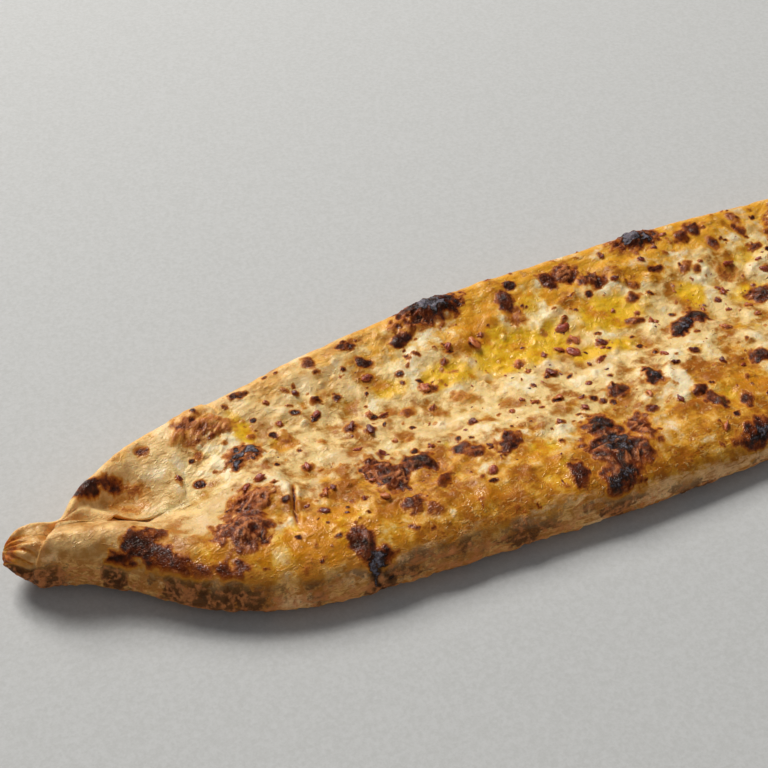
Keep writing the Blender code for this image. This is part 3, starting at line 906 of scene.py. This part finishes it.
# %% Crumb shapes
def ball(rings, sides):
    """Unit ball as (rings * sides + 2) points and its triangles: equal turns round the pole,
    equal angles from pole to pole."""
    polar = np.arange(1, rings + 1) * math.pi / (rings + 1)
    turn = np.arange(sides) * 2.0 * math.pi / sides
    body = np.stack([np.outer(np.sin(polar), np.cos(turn)), np.outer(np.sin(polar), np.sin(turn)),
                     np.outer(np.cos(polar), np.ones(sides))], axis=-1).reshape(-1, 3)
    points = np.concatenate([[[0, 0, 1]], body, [[0, 0, -1]]])
    k = np.arange(sides)
    after = (k + 1) % sides
    last = rings * sides + 1
    faces = [np.stack([np.zeros(sides, int), 1 + k, 1 + after], axis=1),
             np.stack([np.full(sides, last), last - sides + after, last - sides + k], axis=1)]
    for ring in range(rings - 1):
        a, b = 1 + ring * sides, 1 + (ring + 1) * sides
        faces.append(np.stack([a + k, b + k, b + after], axis=1))
        faces.append(np.stack([a + k, b + after, a + after], axis=1))
    return points, np.concatenate(faces)


def lumps(name, places, ups, sizes, seed, lumpiness, detail):
    """One mesh of many lumps: the ball's points, scaled by random half axes, knocked along their
    directions by noise, turned at random, tilted to the surface's up and moved to their places."""
    rng = np.random.default_rng(seed)
    points, faces = ball(*detail)
    count = len(places)
    axes = sizes[:, None] * np.stack([rng.uniform(0.9, 1.45, count), rng.uniform(0.35, 0.85, count),
                                      rng.uniform(0.35, 0.65, count)], axis=1)
    own = rng.uniform(-50, 50, (count, 1, 3))
    knock = 1.0 + lumpiness * hills(points[None] + own, 1.1, 91)
    knock += 0.5 * lumpiness * hills(points[None] + own, 0.5, 92)
    body = points[None] * axes[:, None] * knock[..., None]
    turn = rng.uniform(0.0, 2.0 * math.pi, count)
    side = np.stack([np.cos(turn), np.sin(turn), 0.0 * turn], axis=-1)
    side -= ups * np.sum(side * ups, axis=1, keepdims=True)
    side /= np.linalg.norm(side, axis=1, keepdims=True)
    basis = np.stack([side, np.cross(ups, side), ups], axis=1)
    placed = np.einsum("nij,njk->nik", body, basis) + places[:, None]
    all_faces = (faces[None] + np.arange(count)[:, None, None] * len(points)).reshape(-1, 3)
    mesh = bpy.data.meshes.new(name)
    mesh.from_pydata((placed.reshape(-1, 3) * MM).tolist(), [], all_faces.tolist())
    tone = np.repeat(rng.uniform(0.0, 1.0, count), len(points)).astype(np.float32)
    mesh.attributes.new("tone", "FLOAT", "POINT").data.foreach_set("value", tone)
    above = np.tile(0.5 + 0.5 * points[:, 2], count).astype(np.float32)
    mesh.attributes.new("above", "FLOAT", "POINT").data.foreach_set("value", above)
    mesh.shade_smooth()
    piece = bpy.data.objects.new(name, mesh)
    bpy.context.collection.objects.link(piece)
    flip_if_inside_out(mesh)
    print(f"{name}: {count} pieces, {len(all_faces)} triangles")
    return piece


# %% Crumbs on the top
def upper_points(surface):
    """Points (mm) and normals of the upward parts of a skin."""
    mesh = surface.data
    count = len(mesh.vertices)
    points, ups = np.empty(count * 3, np.float32), np.empty(count * 3, np.float32)
    mesh.vertices.foreach_get("co", points)
    mesh.vertex_normals.foreach_get("vector", ups)
    points, ups = points.reshape(-1, 3) / MM, ups.reshape(-1, 3)
    return points[ups[:, 2] > 0.35], ups[ups[:, 2] > 0.35]


def on_the_skins(plan):
    """Places and ups for crumbs given in plan: the nearest skin point, seen from above, taking
    the cheese or the dough, whichever is higher there."""
    found = []
    for surface in (cheese_skin, dough_skin):
        points, ups = upper_points(surface)
        nearest = []
        for part in np.array_split(plan[:, :2].astype(np.float32), 12):
            gaps = (part[:, :1] - points[:, 0]) ** 2 + (part[:, 1:] - points[:, 1]) ** 2
            nearest.append(gaps.argmin(axis=1))
        nearest = np.concatenate(nearest)
        close = np.hypot(*(points[nearest, :2] - plan[:, :2]).T) < 1.5
        found.append((np.where(close, points[nearest, 2], -1.0), points[nearest], ups[nearest]))
    cheese_higher = found[0][0] >= found[1][0]
    places = np.where(cheese_higher[:, None], found[0][1], found[1][1]).astype(float)
    ups = np.where(cheese_higher[:, None], found[0][2], found[1][2]).astype(float)
    return places, ups / np.linalg.norm(ups, axis=1, keepdims=True)


crumb_places, crumb_ups = on_the_skins(CRUMBS)
crumb_sizes = CRUMBS[:, 2]
crumb_places -= crumb_ups * crumb_sizes[:, None] * 0.08
crumbs = lumps("crumbs", crumb_places, crumb_ups, crumb_sizes, 23, 0.75, (7, 11))
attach(crumbs, "root")

# %% [markdown]
# ## Colours
# Colours are picked as they look on a screen and turned into linear light, which is what shaders
# add and multiply. The baked skins mix from gold, through cream and butter, to toasted brown and
# char, by the masks that the points carry; noise at a finer scale breaks every edge up.

# %% Tints
def tint(red, green, blue):
    """Screen colour, 0 to 255, as linear light with an alpha of 1: ((c + 0.055) / 1.055)^2.4."""
    share = [channel / 255.0 for channel in (red, green, blue)]
    linear = [s / 12.92 if s <= 0.04045 else ((s + 0.055) / 1.055) ** 2.4 for s in share]
    return (*linear, 1.0)


GOLD_STRAND_HIGHLIGHT = tint(250, 214, 132)
GOLD_LIGHT = tint(230, 162, 36)
GOLD_DEEP = tint(164, 90, 6)
CREAM_LIGHT = tint(240, 204, 138)
CREAM_MILK_HIGHLIGHT = tint(255, 230, 186)
CREAM_GREY = tint(212, 174, 120)
CREAM_DEEP = tint(184, 134, 52)
PLAIN_LIGHT = tint(250, 206, 138)
PLAIN_DEEP = tint(190, 132, 66)
BUTTER_AMBER = tint(214, 136, 14)
BUTTER_YELLOW = tint(238, 182, 2)
DOUGH_LIGHT = tint(240, 184, 108)
DOUGH_DEEP = tint(184, 116, 54)
FLOUR = tint(252, 204, 148)
WALL_BROWN = tint(98, 56, 30)
WALL_DARK = tint(58, 24, 16)
TOAST_HONEY = tint(208, 134, 38)
TOAST_AMBER = tint(166, 84, 24)
TOAST_RED = tint(112, 44, 18)
TOAST_DARK = tint(48, 14, 10)
TOAST_PINK_HIGHLIGHT = tint(216, 136, 82)
CHAR_BLACK = tint(26, 21, 22)
CHAR_BLUE = tint(122, 116, 126)
SHEEN = tint(255, 214, 140)
CRUMB_ORANGE = tint(216, 124, 56)
CRUMB_RED = tint(176, 66, 30)
CRUMB_DARK = tint(104, 32, 16)


# %% Node helpers
def wire(tree, kind, inputs, **settings):
    """A new node with its settings and inputs; an input that is a socket is linked, else set."""
    made = tree.nodes.new(kind)
    for key, value in settings.items():
        setattr(made, key, value)
    for key, value in inputs.items():
        if isinstance(value, bpy.types.NodeSocket):
            tree.links.new(value, made.inputs[key])
        else:
            made.inputs[key].default_value = value
    return made


def blended(tree, share, under, over, blend_type="MIX"):
    """Colour that goes from under to over as the share goes from 0 to 1."""
    made = wire(tree, "ShaderNodeMix", {0: share, 6: under, 7: over}, data_type="RGBA",
                blend_type=blend_type, clamp_factor=True)
    return made.outputs[2]


def sums(tree, operation, first, second, clamp=False):
    """One arithmetic step on two numbers or sockets."""
    return wire(tree, "ShaderNodeMath", {0: first, 1: second}, operation=operation,
                use_clamp=clamp).outputs[0]


def added(tree, *terms):
    """Sum of numbers, each given as a socket or as (socket, factor)."""
    total = None
    for term in terms:
        if isinstance(term, tuple):
            term = sums(tree, "MULTIPLY", *term)
        total = term if total is None else sums(tree, "ADD", total, term)
    return total


def ramped(tree, value, low, high, out_low=0.0, out_high=1.0):
    """Number mapped from low..high to out_low..out_high, smoothly, and kept inside."""
    made = wire(tree, "ShaderNodeMapRange", {0: value, 1: low, 2: high, 3: out_low, 4: out_high},
                interpolation_type="SMOOTHSTEP", clamp=True)
    return made.outputs[0]


def mask(tree, name):
    """A number stored on the points of the mesh."""
    return wire(tree, "ShaderNodeAttribute", {}, attribute_name=name).outputs["Fac"]


def grain(tree, size_mm, detail=3.0, roughness=0.55, seed=0.0, distortion=0.0, squeeze=None,
          kind="FBM"):
    """Fractal noise on object coordinates, with its coarsest lumps of the given size; squeeze
    turns it by an angle and stretches it along X, for fibres."""
    place = wire(tree, "ShaderNodeTexCoord", {}).outputs["Object"]
    if squeeze:
        turn, stretch = squeeze
        place = wire(tree, "ShaderNodeMapping", {"Vector": place, "Rotation": (0, 0, -turn),
                                                 "Scale": (1.0 / stretch, 1.0, 1.0)}).outputs[0]
    shifted = wire(tree, "ShaderNodeVectorMath", {0: place, 1: (seed, 0.37 * seed, 0.71 * seed)})
    made = wire(tree, "ShaderNodeTexNoise",
                {"Vector": shifted.outputs[0], "Scale": 1000.0 / size_mm, "Detail": detail,
                 "Roughness": roughness, "Distortion": distortion}, noise_type=kind)
    return made.outputs["Fac"]


# %% [markdown]
# ## The baked skin
# One material function serves dough and cheese. Browning follows the steps of a real crust:
# amber, red-brown, nearly black. Wrinkle crests get a pale pink painted highlight and their
# hollows a darker brown, painted shade; cream is painted paler on high relief, and hollows hold
# butter, so the stored relief and crest shift the masks a little. Gloss comes from a coat of
# melted butter, weaker on the floury outer wall. The far side of the top is lightened as painted light.

# %% Baked skin material
def baked_skin(name, has_wall):
    """Principled skin: colour from the masks, roughness from what is on it, bump from grain."""
    material = bpy.data.materials.new(name)
    material.use_nodes = True
    tree = material.node_tree
    shader = tree.nodes["Principled BSDF"]
    speckle = sums(tree, "SUBTRACT", grain(tree, 1.1, 3.0, 0.6, 1.0), 0.5)
    ruffle = sums(tree, "SUBTRACT", grain(tree, 3.4, 4.0, 0.6, 2.0), 0.5)
    cloud = sums(tree, "SUBTRACT", grain(tree, 10.0, 4.0, 0.55, 3.0), 0.5)
    streak = sums(tree, "SUBTRACT", grain(tree, 1.7, 3.0, 0.6, 4.0, 0.6, (0.6, 3.0)), 0.5)
    relief, crest, far_painted_light = mask(tree, "relief"), mask(tree, "crest"), mask(tree, "far_painted_light")
    browned, charred = mask(tree, "browned"), mask(tree, "charred")

    strand = sums(tree, "SUBTRACT", grain(tree, 3.6, 2.0, 0.5, 11.0, 0.9, (0.5, 1.7)), 0.5)
    strand = ramped(tree, sums(tree, "ABSOLUTE", strand, 0.0), 0.0, 0.075, 1.0, 0.0)
    strand = sums(tree, "MULTIPLY", strand, ramped(tree, grain(tree, 2.4, 2.0, 0.6, 12.0), 0.50, 0.60))

    # Gold and plain dough are painted lighter on the far side: painted light.
    gold = blended(tree, ramped(tree, added(tree, (cloud, 2.0), (ruffle, 0.6), (streak, 0.3), (far_painted_light, 0.28)), -0.24, 0.24),
                   GOLD_DEEP, GOLD_LIGHT)
    # Pale strands over the gold are partly melted threads and partly a painted highlight.
    gold = blended(tree, sums(tree, "MULTIPLY", strand, 0.35), gold, GOLD_STRAND_HIGHLIGHT)
    # Cream is paler on high relief and deeper in hollows, partly painted light and shade, and its milky white
    # patches are partly a painted highlight; high relief is also creamier.
    pale = added(tree, (ruffle, 0.5), (speckle, 0.1), (cloud, 1.9), (relief, 0.15))
    cream = blended(tree, ramped(tree, pale, -0.30, 0.10), CREAM_DEEP, CREAM_LIGHT)
    cream = blended(tree, ramped(tree, pale, 0.12, 0.36), cream, CREAM_MILK_HIGHLIGHT)
    dull = ramped(tree, grain(tree, 26.0, 3.0, 0.5, 9.0, 0.5), 0.51, 0.66, 0.0, 0.65)
    cream = blended(tree, dull, cream, CREAM_GREY)
    plain = blended(tree, ramped(tree, added(tree, cloud, (ruffle, 0.6), (far_painted_light, 0.18)), -0.16, 0.24),
                    PLAIN_DEEP, PLAIN_LIGHT)
    creamy = added(tree, mask(tree, "creamy"), (ruffle, 1.4), (streak, 0.3), (cloud, 4.4),
                   (relief, 0.12))
    colour = blended(tree, ramped(tree, creamy, 0.05, 1.05), gold, cream)
    colour = blended(tree, mask(tree, "plain"), colour, plain)
    oily = added(tree, mask(tree, "buttery"), (ruffle, -0.6), (relief, -0.12), (cloud, -0.4))
    oily = ramped(tree, oily, 0.0, 0.80, 0.0, 0.92)
    butter = blended(tree, ramped(tree, creamy, 0.0, 0.8), BUTTER_AMBER, BUTTER_YELLOW)
    colour = blended(tree, oily, colour, butter)

    if has_wall:
        wall = mask(tree, "wall")
        fibre = sums(tree, "SUBTRACT", grain(tree, 1.5, 4.0, 0.65, 5.0, 0.8, (0.08, 5.0)), 0.5)
        crust = blended(tree, ramped(tree, added(tree, cloud, (fibre, 1.8), ruffle), -0.25, 0.25),
                        DOUGH_DEEP, DOUGH_LIGHT)
        walled = ramped(tree, added(tree, wall, (ruffle, 1.2), (cloud, 0.8)), 0.1, 0.95)
        colour = blended(tree, walled, colour, crust)
        dust = added(tree, mask(tree, "floury"), (fibre, 2.4), (ruffle, 1.4))
        colour = blended(tree, ramped(tree, dust, 0.25, 1.1, 0.0, 0.8), colour, FLOUR)
        scorch = added(tree, browned, (fibre, 1.2), (ruffle, 1.6), (speckle, 0.8))
        char_brown = blended(tree, ramped(tree, browned, 0.60, 0.95), WALL_BROWN, WALL_DARK)
        scorch = sums(tree, "MULTIPLY", ramped(tree, scorch, 0.15, 0.60, 0.0, 0.95), wall)
        colour = blended(tree, scorch, colour, char_brown)

    toast = added(tree, browned, (speckle, 0.35), (ruffle, 0.80), (streak, 0.15), (crest, -0.10))
    toast = sums(tree, "MULTIPLY", toast, ramped(tree, browned, 0.02, 0.15))
    if has_wall:
        toast = sums(tree, "MULTIPLY", toast, ramped(tree, wall, 0.3, 0.9, 1.0, 0.0))
    colour = blended(tree, ramped(tree, toast, 0.05, 0.34, 0.0, 0.85), colour, TOAST_HONEY)
    colour = blended(tree, ramped(tree, toast, 0.28, 0.55, 0.0, 0.9), colour, TOAST_AMBER)
    colour = blended(tree, ramped(tree, toast, 0.48, 0.84, 0.0, 0.95), colour, TOAST_RED)
    # Toast is a little weaker on wrinkle crests and darker in their hollows: painted shade in the hollows.
    toast_and_hollow_shade = added(tree, toast, (crest, -0.35))
    colour = blended(tree, ramped(tree, toast_and_hollow_shade, 0.60, 1.00), colour, TOAST_DARK)
    # Wrinkle crests are painted pale pink: a painted highlight.
    crest_painted_highlight = ramped(tree, added(tree, crest, (speckle, 0.9), (ruffle, 0.5)), 0.48, 0.88, 0.0, 0.72)
    colour = blended(tree, crest_painted_highlight, colour, TOAST_PINK_HIGHLIGHT)
    burnt = added(tree, charred, (speckle, 0.9), (ruffle, 0.5))
    burnt = sums(tree, "MULTIPLY", ramped(tree, burnt, 0.35, 0.95), ramped(tree, charred, 0.1, 0.3))
    # The grey-blue on char is ash and partly a painted reflection of the light.
    ashy_and_reflection = added(tree, (speckle, 1.2), (ruffle, 1.2), (charred, 1.6))
    ash_and_reflection = blended(tree, ramped(tree, ashy_and_reflection, 1.32, 1.72, 0.0, 0.9), CHAR_BLACK, CHAR_BLUE)
    colour = blended(tree, burnt, colour, ash_and_reflection)

    rough = added(tree, (ruffle, 0.5), (oily, -0.12), (burnt, 0.10), (toast, -0.05))
    rough = sums(tree, "ADD", rough, 0.50)
    wet = ramped(tree, grain(tree, 3.2, 2.0, 0.6, 10.0), 0.44, 0.58, 0.10, 1.0)
    coat = ramped(tree, added(tree, oily, (toast, 0.5), (charred, -0.5)), -0.1, 0.8, 0.35, 0.65)
    coat = sums(tree, "MULTIPLY", coat, wet)
    specular = ramped(tree, added(tree, toast, charred), 0.1, 0.8, 0.40, 0.12)
    if has_wall:
        rough = wire(tree, "ShaderNodeMix", {0: wall, 2: rough, 3: 0.75}, data_type="FLOAT").outputs[0]
        coat = sums(tree, "MULTIPLY", coat, ramped(tree, wall, 0.0, 0.6, 1.0, 0.05))
    tree.links.new(specular, shader.inputs["Specular IOR Level"])
    tree.links.new(colour, shader.inputs["Base Color"])
    tree.links.new(rough, shader.inputs["Roughness"])
    tree.links.new(coat, shader.inputs["Coat Weight"])
    gloss = ramped(tree, added(tree, oily, toast), 0.0, 0.5, 0.24, 0.10)
    tree.links.new(gloss, shader.inputs["Coat Roughness"])
    shader.inputs["Specular Tint"].default_value = SHEEN
    shader.inputs["Subsurface Weight"].default_value = 0.30
    shader.inputs["Subsurface Scale"].default_value = 0.004
    shader.inputs["Subsurface Radius"].default_value = (1.0, 0.45, 0.2)

    wrinkle = grain(tree, 2.8, 3.0, 0.5, 6.0, 0.9, (0.7, 1.8))
    pits = grain(tree, 0.7, 2.0, 0.6, 7.0)
    crackle = sums(tree, "MULTIPLY", burnt, grain(tree, 1.3, 2.0, 0.8, 8.0))
    crust = sums(tree, "MULTIPLY", ramped(tree, toast, 0.3, 0.8), pits)
    if has_wall:
        crust = added(tree, crust, (sums(tree, "MULTIPLY", wall, fibre), 3.0))
    height = added(tree, wrinkle, (pits, 0.45), (crackle, 1.1), (streak, 0.4), (strand, 0.40), (crust, 0.6))
    bumpy = wire(tree, "ShaderNodeBump", {"Strength": 0.62, "Distance": 0.0008, "Height": height})
    tree.links.new(bumpy.outputs["Normal"], shader.inputs["Normal"])
    tree.links.new(bumpy.outputs["Normal"], shader.inputs["Coat Normal"])
    return material


def crumb_skin(name):
    """Glossy dark red-brown, from lump to lump and within each by grain."""
    material = bpy.data.materials.new(name)
    material.use_nodes = True
    tree = material.node_tree
    shader = tree.nodes["Principled BSDF"]
    spots = grain(tree, 1.1, 3.0, 0.65, 7.0)
    share = added(tree, (mask(tree, "tone"), 1.0), (sums(tree, "SUBTRACT", spots, 0.5), 1.6))
    share = added(tree, share, (sums(tree, "SUBTRACT", 0.85, mask(tree, "above")), 0.9))
    colour = blended(tree, ramped(tree, share, 0.0, 0.65), CRUMB_DARK, CRUMB_RED)
    colour = blended(tree, ramped(tree, share, 0.60, 1.05, 0.0, 0.9), colour, CRUMB_ORANGE)
    tree.links.new(colour, shader.inputs["Base Color"])
    shader.inputs["Roughness"].default_value = 0.40
    shader.inputs["Coat Weight"].default_value = 0.5
    shader.inputs["Coat Roughness"].default_value = 0.18
    bumpy = wire(tree, "ShaderNodeBump", {"Strength": 0.8, "Distance": 0.0007, "Height": spots})
    tree.links.new(bumpy.outputs["Normal"], shader.inputs["Normal"])
    tree.links.new(bumpy.outputs["Normal"], shader.inputs["Coat Normal"])
    return material


dough_skin.data.materials.append(baked_skin("baked_dough", True))
cheese_skin.data.materials.append(baked_skin("baked_cheese", False))
crumbs.data.materials.append(crumb_skin("burnt_crumb"))

# %% [markdown]
# ## The studio
# A pale matte floor, a broad soft light behind and to the left, and a dim room. The light comes
# over the far rim toward the camera, so the skin glistens, the near wall is in half shade and a
# soft shadow falls in front of it.

# %% Floor
def make_floor(half_size):
    """A square grid as one plane, far larger than the view."""
    corners = np.array([[-1, -1, 0], [1, -1, 0], [1, 1, 0], [-1, 1, 0]]) * half_size
    corners[:, 2] = -0.0003
    mesh = bpy.data.meshes.new("floor")
    mesh.from_pydata(corners.tolist(), [], [[0, 1, 2, 3]])
    floor = bpy.data.objects.new("floor", mesh)
    bpy.context.collection.objects.link(floor)
    material = bpy.data.materials.new("pale_paper")
    material.use_nodes = True
    tree = material.node_tree
    shader = tree.nodes["Principled BSDF"]
    fibre = grain(tree, 1.6, 4.0, 0.7, 9.0)
    paper = blended(tree, ramped(tree, fibre, 0.3, 0.7), tint(190, 190, 187), tint(200, 200, 198))
    tree.links.new(paper, shader.inputs["Base Color"])
    shader.inputs["Roughness"].default_value = 0.9
    shader.inputs["Specular IOR Level"].default_value = 0.2
    mesh.materials.append(material)


make_floor(3.0)


# %% Lights and camera
CAMERA_AZIMUTH = -28.99
CAMERA_HEIGHT_ANGLE = 40.0
CAMERA_DISTANCE = 0.6298
CAMERA_TARGET = Vector((-0.0864, 0.0425, 0.0))
CAMERA_WIDE_ANGLE = 26.0


def away(azimuth, elevation):
    """Unit direction from the target, azimuth 0 toward -Y and 90 toward +X."""
    a, e = math.radians(azimuth), math.radians(elevation)
    return Vector((math.sin(a) * math.cos(e), -math.cos(a) * math.cos(e), math.sin(e)))


def soft_light(name, azimuth, elevation, distance, size, watts, colour):
    """A square area light that looks at the camera's target."""
    data = bpy.data.lights.new(name, "AREA")
    data.shape = "SQUARE"
    data.size = size
    data.energy = watts
    data.color = colour
    light = bpy.data.objects.new(name, data)
    bpy.context.collection.objects.link(light)
    back = away(azimuth, elevation)
    light.location = CAMERA_TARGET + back * distance
    light.rotation_euler = (-back).to_track_quat("-Z", "Y").to_euler()


soft_light("window", 190.0, 45.0, 2.6, 1.235, 73.0, (1.0, 0.985, 0.965))
soft_light("lamp", 178.0, 50.0, 2.6, 0.21, 6.5, (1.0, 0.98, 0.95))
soft_light("bounce", -10.0, 32.0, 1.8, 1.6, 3.2, (0.98, 0.98, 1.0))

world = bpy.data.worlds.new("room")
bpy.context.scene.world = world
world.use_nodes = True
world.node_tree.nodes["Background"].inputs["Color"].default_value = (0.93, 0.96, 1.0, 1.0)
world.node_tree.nodes["Background"].inputs["Strength"].default_value = 0.15

lens = bpy.data.cameras.new("camera")
lens.sensor_width = 36.0
lens.lens = 18.0 / math.tan(math.radians(0.5 * CAMERA_WIDE_ANGLE))
camera = bpy.data.objects.new("camera", lens)
bpy.context.collection.objects.link(camera)
camera_back = away(CAMERA_AZIMUTH, CAMERA_HEIGHT_ANGLE)
camera.location = CAMERA_TARGET + camera_back * CAMERA_DISTANCE
camera.rotation_euler = (-camera_back).to_track_quat("-Z", "Y").to_euler()
bpy.context.scene.camera = camera
bpy.context.scene.view_settings.view_transform = "Standard"
print(f"camera: {lens.lens:.0f} mm lens, {CAMERA_DISTANCE:.2f} m away")
